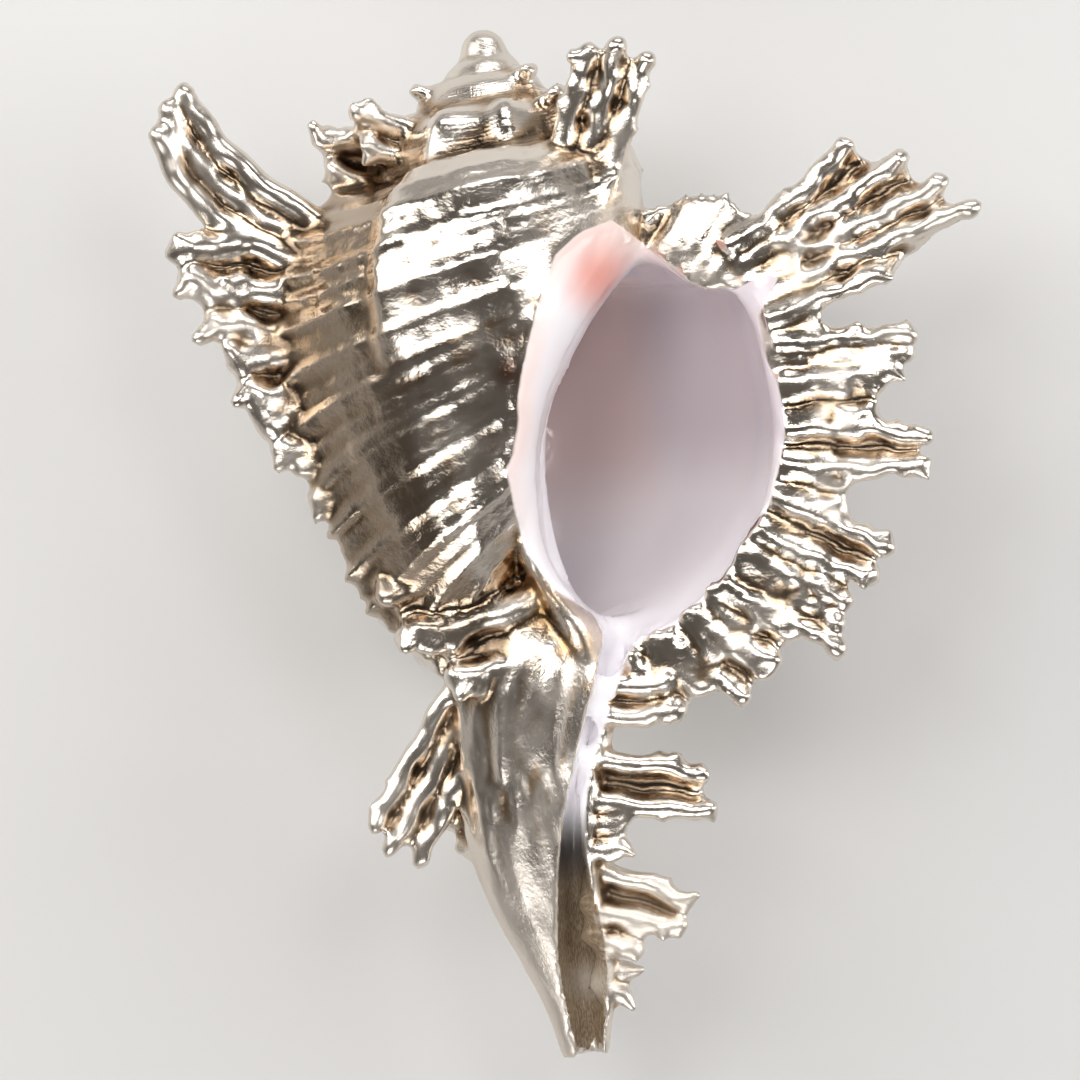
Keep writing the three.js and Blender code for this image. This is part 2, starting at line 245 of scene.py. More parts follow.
# The lip's face: folded like a frill between the outer skin and the thin rim of the mouth.
LIP_CHANNELS = (  # middle of the channel along the lip, half width
    (0.05, 0.02), (0.235, 0.07), (0.31, 0.018), (0.39, 0.03), (0.45, 0.018), (0.51, 0.03), (0.575, 0.016),
    (0.635, 0.028), (0.7, 0.018), (0.76, 0.026), (0.805, 0.014), (0.85, 0.02), (0.91, 0.02), (0.98, 0.018),
)
forward = round_axis(0, 1, angle_at(0) + 90) - round_axis(0, 0, 0)
outward = outer_rows[-1] - chamber_rows[0]
outward /= np.linalg.norm(outward, axis=1)[:, None]
on_edge = (station_of <= 1)[:, None]
fold = 1 - 2.1 * sum(bell(station_of, at, 0.75 * wide) for at, wide in LIP_CHANNELS)
fold = fold + 0.35 * np.sin(2 * np.pi * 41 * station_of + 2.5 * np.sin(17 * station_of))
fold = fold[:, None]
face_rows = []
for share in (0.0, 0.12, 0.25, 0.4, 0.55, 0.7, 0.82, 0.92, 0.98):
    base = outer_rows[-1] * (1 - share) + chamber_rows[0] * share
    rise = 1.0 + 1.0 * share + 0.9 * fold * math.sin(math.pi * min(1, share * 1.05)) ** 0.7
    flare = 2.2 * (1 - share) ** 2
    face_rows.append(base + on_edge * (forward * rise + outward * flare))
mouth_rim = chamber_rows[0] + on_edge * forward * (1.3 + 0.3 * fold)

last_whorl = skin_grid(
    "last_whorl",
    np.stack([*outer_rows[:-1], *face_rows, mouth_rim, *chamber_rows[1:]]),
    round_across=True, caps=True,
)
front_turns = np.linspace(0.68, 1.32, 160)
front_rows, _ = coil_points(WHORL_EDGE, WHORL_INNER_EDGE, front_turns, 150, 24, True)
front_whorl = skin_grid("front_whorl", front_rows, round_across=True, caps=True)
spire_turns = np.linspace(1.28, 4.6, 300)
spire_rows, _ = coil_points(WHORL_EDGE, WHORL_INNER_EDGE, spire_turns, 80, 16, True)
spire = skin_grid("spire", spire_rows, round_across=True, caps=True)

KNOB_RADIUS = 4.7
deselect_all()
bpy.ops.mesh.primitive_uv_sphere_add(segments=24, ring_count=16, radius=KNOB_RADIUS * MM,
                                     location=Vector(beside_axis(4.6, 0, 0)) * MM)
apex_knob = bpy.context.object
apex_knob.name = "apex_knob"
bpy.ops.object.transform_apply(location=True, rotation=True, scale=True)


# ---------------------------------------------------------------------------
# The columella and the canal. The pillar that the whorls turn round ends in the siphonal canal, a long
# tapering bar with an open slit; beside it lie the worn stubs of the canals of earlier varices.
# ---------------------------------------------------------------------------
CANAL = [  # down, left, right, middle height, half depth
    (84, -14, -2, -4, 6), (96, -14, -1, -4, 9), (106, -15, 1, -3, 11), (112, -16, 3, -2, 12),
    (118, -17, 9, -1, 12.5), (124, -19, 14.5, 0, 13), (130, -20.5, 16, 0.5, 13.2),
    (140, -21, 12.5, 0, 12.8), (152, -20.8, 9.5, -1, 11.5), (165, -19.4, 7.4, -2, 10),
    (176, -16.6, 6.8, -3, 8.4), (187, -12, 7.3, -4, 7.2), (197, -8, 6.2, -5, 5.8),
    (208, -5.2, 4.2, -6, 4),
]
COLUMELLA = [
    (44, 2, 13, 14, 14), (56, -2, 11, 13, 15), (70, -5, 6, 9, 17), (84, -6, 2.6, 5, 17),
    (98, -5.5, 1.8, 3, 16), (106, -5, 2, 2, 15), (112, -3, 4.5, 1.5, 14.5), (120, 0, 11, 1, 14),
    (128, 3, 12, 0, 12),
]
SLIT = [  # down, middle, half width, floor
    (112, 17, 5, -6), (122, 15.4, 3.4, -3), (132, 11.5, 2.5, -1), (142, 7.5, 2.1, 0),
    (153, 3.6, 1.9, 0), (162, 1.6, 2.2, -3), (170, 0.9, 2.9, -5.5), (187, 0.7, 4.6, -8.6),
    (199, 0.5, 3.6, -8.6), (212, 0, 1.8, -8.6),
]


def oval_bar(name, stations, rows, columns, wrinkle):
    line = smooth_line(stations, rows)
    turn = np.linspace(0, 2 * np.pi, columns, endpoint=False)
    down, left, right, middle, half = (line[:, k][:, None] for k in range(5))
    meander = 1.1 * np.sin(down * 0.17) + 0.6 * np.sin(down * 0.41 + 1)
    ridges = wrinkle * (np.sin(11 * turn + meander) + 0.8 * np.sin(19 * turn - 1.4 * meander + 1)
                        + 0.7 * np.sin(31 * turn + 2 * meander) * np.sin(down * 0.33 + 3 * turn))
    ridges = ridges * (0.25 + 0.75 * bell(down, 146, 22)) + 0 * turn
    across = (left + right) / 2 + ((right - left) / 2 + ridges) * np.cos(turn)
    up = middle + (half + ridges) * np.sin(turn)
    return skin_grid(name, beside_axis(down + 0 * turn, across, up), round_across=True, caps=True)


canal = oval_bar("canal", CANAL, 170, 120, 0.42)
columella = oval_bar("columella", COLUMELLA, 90, 60, 0.0)

SLIT_TOP = 40
slit_line = smooth_line(SLIT, 80)
floor_turn = np.linspace(np.pi, 2 * np.pi, 17)
slit_rows = []
for down, middle, half, floor in slit_line:
    trough_across = middle + half * np.cos(floor_turn)
    trough_up = floor + half + half * np.sin(floor_turn)
    across = np.concatenate([[middle - half], trough_across, [middle + half]])
    up = np.concatenate([[SLIT_TOP], trough_up, [SLIT_TOP]])
    slit_rows.append(beside_axis(np.full(len(across), down), across, up))
slit_cutter = skin_grid("slit_cutter", np.stack(slit_rows), round_across=True, caps=True)

# The pillar's rounded edge: the glaze rolls over from its outer edge on the whorl down into the mouth.
GLAZE = [  # outer edge as down, right and up, then inner edge as down and right
    (42, 21.5, 25, 46.5, 28.5), (44, 15, 28, 50, 26.8), (48, 9.8, 31, 53.4, 23.6),
    (54.5, 6.5, 33, 59, 18), (62, 3.6, 33, 65, 13.6), (70, 0.8, 32, 71.5, 9.4), (77, -1, 30, 78, 5.6),
    (86, -2.8, 27.5, 87.6, 2.9), (92, -4, 25, 93, 2.4), (98, -3.5, 22, 99, 2.2),
    (105.4, -2.2, 19, 105.6, 2.6), (113.5, 2.4, 16.5, 111.4, 4.8), (117, 7.2, 15, 116, 8.6),
    (121.6, 13.2, 13.5, 120, 14),
]
LIP_SIDE = [
    (121, 22), (113, 34), (101, 45), (89, 49.5), (76.8, 49), (64.5, 46.8), (59.5, 42), (54.5, 36),
    (49, 31),
]
GLAZE_FOOT, CAVITY, CUTTER_TOP = 5.0, -12.0, 70
LIP_SIDE_TOP, LIP_SIDE_POINTS = 34.0, 50
glaze_line = smooth_line(GLAZE, 70)
lip_line = smooth_line(LIP_SIDE, LIP_SIDE_POINTS)
cutter_rows = []
for share in (-1, *np.linspace(0, 1, 12), 2):
    roll = min(1, max(0, share))
    down = np.concatenate([glaze_line[:, 0] * (1 - roll) + glaze_line[:, 3] * roll, lip_line[:, 0]])
    right = np.concatenate([glaze_line[:, 1] * (1 - roll) + glaze_line[:, 4] * roll, lip_line[:, 1]])
    fall = math.sqrt(1 - roll**2)
    edge_up = np.concatenate([glaze_line[:, 2], np.full(LIP_SIDE_POINTS, LIP_SIDE_TOP)])
    up = GLAZE_FOOT + (edge_up - GLAZE_FOOT) * fall
    if share == -1:
        up = up * 0 + CUTTER_TOP
    if share == 2:
        up = up * 0 + CAVITY
    cutter_rows.append(beside_axis(down, right, up))
mouth_cutter = skin_grid("mouth_cutter", np.stack(cutter_rows), round_across=True, caps=True)

for part in (last_whorl, canal, columella, front_whorl):
    for cutter in (slit_cutter, mouth_cutter):
        if cutter == mouth_cutter and part == last_whorl:
            continue
        select_only(part)
        cut = part.modifiers.new("opening", "BOOLEAN")
        cut.operation = "DIFFERENCE"
        cut.solver = "EXACT"
        cut.object = cutter
        bpy.ops.object.modifier_apply(modifier=cut.name)


# ---------------------------------------------------------------------------
# The fronds. Wherever growth paused, the lip threw out a row of leafy spines: each is a channel folded
# from the lip's edge, open towards the newer shell, with crinkled flanges and a ragged, forked end.
# ---------------------------------------------------------------------------
rng = np.random.default_rng(7)
fronds = []
FROND_STEPS = 26
WEB_THICKNESS = 2.4


def unit(vector):
    return vector / np.linalg.norm(vector)


def tapering_rod(name, path, radius, facing, columns=12):
    """A rod of varying radius along a path, closed by the radius shrinking to its end."""
    along = np.gradient(path, axis=0)
    along /= np.linalg.norm(along, axis=1)[:, None]
    side = np.cross(along, facing)
    side /= np.linalg.norm(side, axis=1)[:, None]
    rise = np.cross(side, along)
    turn = np.linspace(0, 2 * np.pi, columns, endpoint=False)
    ring = side[:, None] * np.cos(turn)[None, :, None] + rise[:, None] * np.sin(turn)[None, :, None]
    fronds.append(skin_grid(name, path[:, None] + ring * radius[:, None, None], round_across=True, caps=True))


def frond(root, tips, opens_to, half, ridge=1.5, scaly=1.0, sag=0.5, cleft=0.12, knobs=True, bend=0.0):
    """A channelled leaf: a rounded, scaly ridge runs to each tip, and a web sags between them."""
    root, opens_to, tips = (np.asarray(v, float) for v in (root, opens_to, tips))
    along = unit(tips.mean(axis=0) - root)
    opening = unit(opens_to - along * opens_to.dot(along))
    across = np.cross(along, opening)
    tips = tips[np.argsort((tips - root) @ across)]
    places = np.linspace(-0.8, 0.8, len(tips))
    share = np.linspace(0, 1, FROND_STEPS)[:, None]
    paths = []
    for place, tip in zip(places, tips):
        start = root + across * place * half + opening * 0.3 * half * (place**2 - 0.4)
        reach = np.linalg.norm(tip - start)
        turn = start + along * 0.6 * reach + across * place * half * 0.3
        turn = turn - opening * 0.07 * reach - across * bend * reach
        path = (1 - share) ** 2 * start + 2 * share * (1 - share) * turn + share**2 * tip
        phase = rng.uniform(0, 6.28, 3)
        wander = 0.35 * np.sin(share * reach * 0.55 + phase[0])
        path = path + across * wander + opening * 0.3 * np.sin(share * reach * 0.7 + phase[1]) * share
        paths.append(path)
        scale = (share[:, 0] * reach / rng.uniform(2.3, 3.0) + phase[2]) % 1
        radius = ridge * (1.2 - 0.2 * share[:, 0]) * (0.92 + 0.24 * scaly * scale**1.5)
        blunt = np.clip((share[:, 0] - 1 + 0.9 * ridge / reach) / (0.9 * ridge / reach), 0, 0.97)
        tapering_rod("ridge", path, radius * np.sqrt(1 - blunt**2), opening)
    for near, far in zip(paths[:-1], paths[1:]):
        between = np.linspace(0, 1, 9)
        rows = []
        for one in between:
            full = 1 - cleft * math.sin(math.pi * one) ** 0.8
            at = share[:, 0] * full * (len(share) - 1)
            low = np.minimum(at.astype(int), len(share) - 2)
            part = (at - low)[:, None]
            a = near[low] * (1 - part) + near[low + 1] * part
            b = far[low] * (1 - part) + far[low + 1] * part
            gap = np.linalg.norm(b - a, axis=1)[:, None]
            crinkle = 0.3 * np.sin(at[:, None] * 1.1 + 5 * one + near[0, 0])
            fall = sag * gap * 0.5 * math.sin(math.pi * one)
            rows.append(a * (1 - one) + b * one - opening * (fall - crinkle * share))
        web = skin_grid("web", np.stack(rows, axis=1))
        thick = web.modifiers.new("wall", "SOLIDIFY")
        thick.thickness = WEB_THICKNESS * MM
        thick.offset = 0
        bpy.ops.object.modifier_apply(modifier=thick.name)
        fronds.append(web)
    if knobs:
        for path, sideways in ((paths[0], -1), (paths[-1], 1)):
            for at in (0.45, 0.66, 0.85):
                spot = path[int(round((at + rng.uniform(-0.06, 0.06)) * (FROND_STEPS - 1)))]
                forwards = along * rng.uniform(0.3, 0.9)
                way = unit(across * sideways + forwards + opening * rng.uniform(-0.2, 0.7))
                reach = rng.uniform(1.2, 1.9) * ridge
                steps = np.linspace(0, 1, 7)[:, None]
                bent = spot + way * reach * steps + along * 0.5 * ridge * steps**2
                tapering_rod("lobe", bent, ridge * np.sqrt(1 - (0.96 * steps[:, 0]) ** 3) * 0.8, opening, 8)


def varix_point(angle, right, down, lift=0.0):
    """A point seen at right and down, in the plane of the varix that stands at that angle."""
    return beside_axis(down, right, right * math.tan(math.radians(angle)) + lift)


def ahead_of(angle):
    return round_axis(0, 1, angle + 90) - round_axis(0, 0, 0)


LIP_FRONDS = [  # root, tips as right and down, half width at the root
    ((47, 57), ((94, 46.4), (88.4, 41), (81.2, 35.2), (70.6, 30.6), (75.5, 57)), 10),
    ((51, 73), ((79.8, 71), (78.5, 74.4), (75.6, 77.0)), 4.4),
    ((51, 82), ((71.5, 81), (70.5, 84)), 3.2),
    ((50, 89.5), ((80.2, 91.6), (79.8, 96)), 4.4),
    ((48.5, 97), ((63.6, 99.6), (62.5, 102.4)), 3.0),
    ((45.5, 102), ((70, 113.4), (67, 117.8)), 4.6),
    ((41, 108.5), ((55, 114.4), (53.5, 117.4)), 3.0),
    ((38, 112), ((61.4, 122.2), (60, 126.5), (59.5, 131.6)), 4.6),
    ((31.5, 118), ((49, 128.6), (46.8, 132.6)), 4.0),
    ((26, 122), ((43.2, 136), (39.6, 139.4)), 4.0),
    ((19, 125.5), ((30, 138), (26.4, 141)), 3.6),
]
for root, tips, half in LIP_FRONDS:
    lip_tips = [varix_point(LIP_ANGLE, *tip) for tip in tips]
    ridge = 2.0 if half > 4 else 1.7
    frond(varix_point(LIP_ANGLE, *root, lift=1.0), lip_tips, ahead_of(LIP_ANGLE), half, ridge=ridge)

LEFT_ANGLE = 165
LEFT_FRONDS = [  # root, tips as right and down, half width, lift
    ((-38, 54), ((-62.2, 48.6), (-61, 52.6)), 5.0, 0),
    ((-40, 45), ((-66.6, 39.2), (-64.6, 43.4)), 5.0, 0),
    ((-34, 65.6), ((-57, 62.6), (-55.6, 67)), 5.0, 0),
    ((-30, 74.3), ((-52.2, 75.6), (-50, 80)), 5.0, 0),
    ((-25, 82.9), ((-45.8, 85.4), (-43.8, 89.8)), 5.2, 1),
    ((-20, 92), ((-37, 93.4), (-35.4, 97)), 4.2, -4),
    ((-8, 97), ((-28.2, 95.4), (-27, 100.6)), 6.0, 9),
    ((-14, 103), ((-29, 105), (-27.6, 108)), 3.6, -3),
    ((-5, 110), ((-32, 112.6), (-29.6, 118.6)), 7.0, 10),
    ((1, 119.5), ((-24, 122.6), (-20.6, 128.6)), 6.6, 11),
]
for root, tips, half, lift in LEFT_FRONDS:
    left_tips = [varix_point(LEFT_ANGLE, *tip, lift=0.6 * lift) for tip in tips]
    frond(varix_point(LEFT_ANGLE, *root, lift=lift - 1.5), left_tips, UP, half, ridge=2.8, scaly=0.7, sag=0.3)
horn_tips = [varix_point(LEFT_ANGLE, *tip) for tip in ((-60.4, 5.6), (-64, 8.6), (-65.8, 13.2))]
horn_root = varix_point(LEFT_ANGLE, -38, 40, lift=1)
frond(horn_root, horn_tips, UP, 6.2, ridge=2.5, scaly=0.1, sag=0.7, cleft=0.04, knobs=False, bend=0.22)

SPIRE_FRONDS = [  # root, tips, as right, down and up, half width
    ((14.8, 36, 19), ((31.8, 10, 27), (27, 7.4, 30), (21.2, 7, 27)), 6),
    ((-21, 25.5, 6), ((-36, 19.6, 10), (-34, 24.6, 8)), 4.6),
    ((-17, 22, 9), ((-27.4, 15.6, 14), (-25.6, 20, 13)), 3.6),
]
for root, tips, half in SPIRE_FRONDS:
    spire_tips = [beside_axis(down, right, up) for right, down, up in tips]
    right, down, up = root
    frond(beside_axis(down, right, up), spire_tips, UP, half, ridge=2.1, scaly=0.6, sag=0.7)

EDGE_POINTS = 400
edge_line = smooth_line(WHORL_EDGE, EDGE_POINTS)


def varix_place(turns_back, at):
    """Where a frond springs from a varix, and which ways are out and forward there."""
    i = int(round(at * (EDGE_POINTS - 1)))
    size = float(size_at(turns_back))
    down = float(stretched(edge_line[i][1], turns_back)) * size
    root = round_axis(down, edge_line[i][0] * size, angle_at(turns_back))
    out = round_axis(0, 1, angle_at(turns_back)) - round_axis(0, 0, 0)
    return size, root, out, ahead_of(angle_at(turns_back))


BARE_VARIX = 1.583  # the one old varix that carries no frond
for varix in VARICES[4:]:
    if varix == BARE_VARIX:
        continue
    size, root, out, ahead = varix_place(varix, 0.2)
    tips = [root + (out * 13 - DOWN * 9 + ahead * side) * size for side in (-4, 4)]
    ridge = max(1.2, 3 * size)
    frond(root - out * 3 * size, tips, -DOWN, 6 * size, ridge=ridge, sag=0.4, knobs=False)

DORSAL_FRONDS = [  # at, then where the tip touches the surface, half width, spread of the tips
    (0.17, -40, 62, 7.5, 15), (0.24, -8, 68, 8, 16), (0.42, 12, 44, 5.4, 11),
    (0.55, 20, 22, 5.8, 12), (0.68, 17, 2, 5.2, 11), (0.82, 12, -22, 5, 10),
]
for at, x, y, half, spread in DORSAL_FRONDS:
    size, root, out, ahead = varix_place(DORSAL_VARIX, at)
    touch = np.array([x, y, 1.0]) - MIDDLE
    sideways = unit(np.cross(touch - root, ahead))
    sideways[2] = 0
    tips = [touch + sideways * spread * share for share in (-0.5, 0.05, 0.5)]
    tips[0][2], tips[2][2] = rng.uniform(2, 6), rng.uniform(4, 9)
    frond(root - out * 3, tips, ahead, half * size, ridge=2.1)
BETWEEN_DORSAL = (0.205, 0.31, 0.365, 0.485, 0.615, 0.75, 0.9)  # where the short ones stand between them
for at in BETWEEN_DORSAL:
    size, root, out, ahead = varix_place(DORSAL_VARIX, at)
    middle = root + (out * rng.uniform(9, 14) + DOWN * rng.uniform(-3, 3)) * size
    tips = [middle + DOWN * share * 5 * size for share in (-0.5, 0.5)]
    frond(root - out * 3, tips, ahead, 3.6 * size, ridge=1.8)

CANAL_FRONDS = [  # root, tips, as right, down and up, half width
    ((8, 137, 4), ((24.4, 135.4, 8), (25.6, 139.6, 7)), 3.4),
    ((4, 152, 3), ((30.4, 153.6, 6), (31.2, 160.4, 6)), 4.8),
    ((3, 163, 2), ((12, 162.4, 4), (12.2, 166, 4)), 2.8),
    ((2, 173, -1), ((24.4, 180, 2), (22.6, 183.4, 1)), 4.4),
    ((2, 180, -2), ((15, 184.6, 0), (13.4, 187.6, 0)), 3.2),
    ((2, 191, -4), ((10, 193, -4), (10.2, 196.4, -4)), 2.6),
    ((-12, 128, 6), ((-39.2, 158.4, 4), (-36.6, 163.8, 3), (-31, 166.4, 0)), 5.4),
    ((-12, 150, -4), ((-23.2, 160, -3), (-22.6, 164, -4)), 3.4),
]
for root, tips, half in CANAL_FRONDS:
    canal_tips = [beside_axis(down, right, up) for right, down, up in tips]
    right, down, up = root
    frond(beside_axis(down, right, up), canal_tips, UP, half, ridge=1.9 if half < 6 else 2.6,
          scaly=0.8 if half < 6 else 0.2, sag=0.6, knobs=half < 6)


# ---------------------------------------------------------------------------
# One shell. It grew as a single piece, so all of it is fused into one skin, and the glossy inside of
# the mouth is told from the outside by how near each point is to the chamber.
# ---------------------------------------------------------------------------
VOXEL = 0.8 * MM
MOST_TRIANGLES = 190000

select_only(last_whorl)
for part in (front_whorl, spire, apex_knob, canal, columella, *fronds):
    part.select_set(True)
bpy.context.view_layer.objects.active = last_whorl
bpy.ops.object.join()
shell = last_whorl
shell.name = "murex_shell"
fuse = shell.modifiers.new("fuse", "REMESH")
fuse.mode = "VOXEL"
fuse.voxel_size = VOXEL
bpy.ops.object.modifier_apply(modifier=fuse.name)
bpy.data.objects.remove(slit_cutter)
bpy.data.objects.remove(mouth_cutter)
triangles = 2 * len(shell.data.polygons)
if triangles > MOST_TRIANGLES:
    thin = shell.modifiers.new("thin", "DECIMATE")
    thin.ratio = MOST_TRIANGLES / triangles
    bpy.ops.object.modifier_apply(modifier=thin.name)

# Fusing leaves a few closed crumbs inside the skin: only the shell itself is kept.
select_only(shell)
bpy.ops.object.mode_set(mode="EDIT")
bpy.ops.mesh.select_all(action="SELECT")
bpy.ops.mesh.separate(type="LOOSE")
bpy.ops.object.mode_set(mode="OBJECT")
loose = sorted(bpy.context.selected_objects, key=lambda piece: len(piece.data.vertices))
shell = loose[-1]
for crumb in loose[:-1]:
    bpy.data.objects.remove(crumb)
shell.name = "murex_shell"
select_only(shell)
bpy.ops.object.shade_smooth()


# What each point of the skin belongs to, worked out from where it lies round the axis.
mesh = shell.data
count = len(mesh.vertices)
place = np.empty(count * 3, np.float32)
mesh.vertices.foreach_get("co", place)
place = place.reshape(-1, 3).astype(float) / MM
edges = np.empty(len(mesh.edges) * 2, np.int64)
mesh.edges.foreach_get("vertices", edges)
edges = edges.reshape(-1, 2)
degree = np.maximum(1, np.bincount(edges.ravel(), minlength=count))[:, None]


def read_normals():
    flat = np.empty(count * 3, np.float32)
    mesh.vertex_normals.foreach_get("vector", flat)
    return flat.reshape(-1, 3).astype(float)


def move_points(points):
    mesh.vertices.foreach_set("co", (points * MM).astype(np.float32).ravel())
    mesh.update()


def neighbours_mean(values):
    """The mean of each point's neighbours along the edges of the mesh."""
    near, far = edges[:, 0], edges[:, 1]
    totals = [
        np.bincount(near, values[far, k], count) + np.bincount(far, values[near, k], count)
        for k in range(values.shape[1])
    ]
    return np.stack(totals, axis=1) / degree


def axis_places(points):
    apart = points - APEX
    down, right, up = apart @ DOWN, apart @ RIGHT, apart @ UP
    return down, right, up, np.hypot(right, up), np.degrees(np.arctan2(up, right))


def inside_by(outline, points):
    """Signed distance from points to a closed outline in its plane, positive inside it."""
    outline = np.asarray(outline, float)
    nearest = np.full(len(points), 1e9)
    inside = np.zeros(len(points), bool)
    for a, b in zip(outline, np.roll(outline, -1, axis=0)):
        along = b - a
        share = np.clip(((points - a) @ along) / along.dot(along), 0, 1)
        nearest = np.minimum(nearest, np.linalg.norm(points - a - share[:, None] * along, axis=1))
        spans = (a[1] > points[:, 1]) != (b[1] > points[:, 1])
        cross = a[0] + (points[:, 1] - a[1]) * along[0] / (along[1] if along[1] else 1e-9)
        inside ^= spans & (points[:, 0] < cross)
    return np.where(inside, nearest, -nearest)


MOUTH_OUTLINE = [  # the edge of the porcelain seen from straight above: down, out to the right
    (42, 21.5), (44, 15), (48, 9.8), (54.5, 6.5), (62, 3.6), (70, 0.8), (75.5, -0.7), (80, -1.0),
    (86, -2.8), (88.6, -4.3), (96.9, -3.5), (105.4, -2.2), (113.5, 2.4), (117, 7.2), (121.6, 13.2),
    (129, 13), (129, 15.4), (126.9, 16.8), (122.1, 23.8), (119.9, 28.8), (113.9, 35.3), (109.2, 40),
    (104.8, 42.1), (101.6, 46.8), (94.9, 49.2), (89, 51.2), (82.7, 51.8), (76.8, 50.9), (71.7, 49.2),
    (63.5, 48.8), (56.3, 53.6), (55.4, 50.9), (58.3, 43.5), (58.6, 38.7), (51.7, 32.4), (46, 27),
]
chamber_outline = np.array([*CHAMBER_EDGE, *CHAMBER_INNER_EDGE], float)


def mouth_depth(points, facing):
    """How far inside the porcelain each point lies, in millimetres: negative on the silvered outside."""
    down, right, up, out, angle = axis_places(points)
    turns = (LIP_ANGLE - angle) / 360
    turns = np.where(turns < -0.08, turns + 1, turns)
    size = size_at(turns)
    squeezed = down / size
    for _ in range(3):
        squeezed = down / size * squeezed / stretched(squeezed, turns)
    in_chamber = inside_by(chamber_outline, np.stack([out / size, squeezed], axis=1)) * size + 0.7
    ahead = -turns * 2 * np.pi * np.maximum(out, 5)
    in_chamber = in_chamber - 2 * np.maximum(0, ahead - 1.4)
    in_chamber = np.where(turns > 0.76, -9, in_chamber)
    on_front = inside_by([(b, a) for a, b in MOUTH_OUTLINE], np.stack([right, down], axis=1))
    on_top = (facing[:, 2] > 0) & (up > -12)
    on_pillar_wall = (facing[:, 2] > -0.35) & (up > -30) & (out < 34) & (down < 106)
    on_front = np.where(on_top | on_pillar_wall, on_front, -9)
    slit = smooth_line(SLIT, 200)
    middle = np.interp(down, slit[:, 0], slit[:, 1])
    half = np.interp(down, slit[:, 0], slit[:, 2])
    in_slit = half + 0.35 - np.abs(right - middle)
    outward_facing = (right - middle) / half * (facing @ RIGHT)
    in_slit = np.where(outward_facing > 0.3, -9, in_slit)
    in_slit = np.where((down > 118) & (down < 207) & (up > -12), in_slit, -9)
    return np.maximum(np.maximum(in_chamber, on_front), in_slit)


AT_ONCE = 20000  # points looked up in one go, to spare memory
LOOKUP_POINTS = 120


def on_whorls(points):
    """Which turn each point lies on, how far along its edge, and how far off its surface in millimetres."""
    down, right, up, out, angle = axis_places(points)
    edge = smooth_line(WHORL_EDGE, LOOKUP_POINTS)
    nearest = np.full(len(points), 99.0)
    turns_found = np.zeros(len(points))
    station_found = np.zeros(len(points))
    for n in range(6):
        turns = (LIP_ANGLE - angle) / 360 + n
        turns = np.where(turns < -0.04, turns + 6, turns)
        size = size_at(turns)
        squeezed = down / size
        for _ in range(3):
            squeezed = down / size * squeezed / stretched(squeezed, turns)
        spots = np.stack([out / size, squeezed], axis=1).astype(np.float32)
        for i in range(0, len(points), AT_ONCE):
            block = spots[i : i + AT_ONCE]
            apart = np.hypot(
                block[:, :1] - edge[:, 0].astype(np.float32), block[:, 1:] - edge[:, 1].astype(np.float32)
            )
            which = apart.argmin(axis=1)
            off = apart[np.arange(len(block)), which] * size[i : i + AT_ONCE]
            better = off < nearest[i : i + AT_ONCE]
            nearest[i : i + AT_ONCE][better] = off[better]
            turns_found[i : i + AT_ONCE][better] = turns[i : i + AT_ONCE][better]
            station_found[i : i + AT_ONCE][better] = which[better] / (LOOKUP_POINTS - 1)
    return turns_found, station_found, nearest


SMOOTHING_PASSES = 3
POLISH_PASSES = 25
CALLUS_HEIGHT = 0.7
LOWEST = 0.02
FINE_REACH, BROAD_REACH = 7, 69

normal = read_normals()
depth = mouth_depth(place, normal)
turns_at, station_at, off_whorl = on_whorls(place)
down, right, up, out, angle = axis_places(place)
outside = 1 - smooth_step(-2.5, -0.2, depth)
leafy = smooth_step(3.5, 7.0, off_whorl) * np.where(down > 118, smooth_step(19, 24, out), 1.0)
# The left horn and the old frond beside the canal are worn smooth.
calm = smooth_step(0.7, 1.1, np.hypot((right + 54) / 20, (down - 22) / 22))
calm = np.minimum(calm, smooth_step(0.8, 1.2, np.hypot((right + 27) / 14, (down - 150) / 20)))
calm = 0.25 + 0.75 * calm
rough = np.array([noise.fractal(Vector(p * 0.21), 0.9, 2.1, 4) for p in place])
fine_rough = np.array([noise.noise(Vector(p * 0.62)) for p in place])
coarse_lift = (0.22 + 0.78 * leafy) * 0.85 * rough
fine_lift = (0.1 + 0.5 * leafy) * 0.4 * fine_rough
lift = outside * calm * (coarse_lift + fine_lift)
place = place + normal * lift[:, None]
for _ in range(SMOOTHING_PASSES):
    place = place + 0.45 * (neighbours_mean(place) - place)
polish = smooth_step(0.0, 1.5, depth)[:, None]
for _ in range(POLISH_PASSES):
    place = place + polish * 0.6 * (neighbours_mean(place) - place)
move_points(place)
normal = read_normals()
depth = mouth_depth(place, normal)
# The callus, the thick glaze on the pillar, stands a little proud of the whorl it lies on.
callus = smooth_step(-0.3, 0.5, depth) * (1 - 0.5 * smooth_step(1.5, 6, depth))
callus = callus * (1 - smooth_step(16, 28, right))
place = place + normal * (CALLUS_HEIGHT * callus * (normal[:, 2] > 0.2))[:, None]
place[:, 2] = np.maximum(place[:, 2], LOWEST)
move_points(place)

# How deep each point lies in a small recess and in a broad one, where the tarnish gathers.
smoothed = place.copy()
recesses = []
for step in range(BROAD_REACH + 1):
    smoothed = neighbours_mean(smoothed)
    if step in (FINE_REACH, BROAD_REACH):
        recesses.append(((smoothed - place) * normal).sum(axis=1))
down, right, up, out, angle = axis_places(place)


def write_attribute(name, values):
    attribute = mesh.attributes.new(name, "FLOAT", "POINT")
    attribute.data.foreach_set("value", np.asarray(values, np.float32))


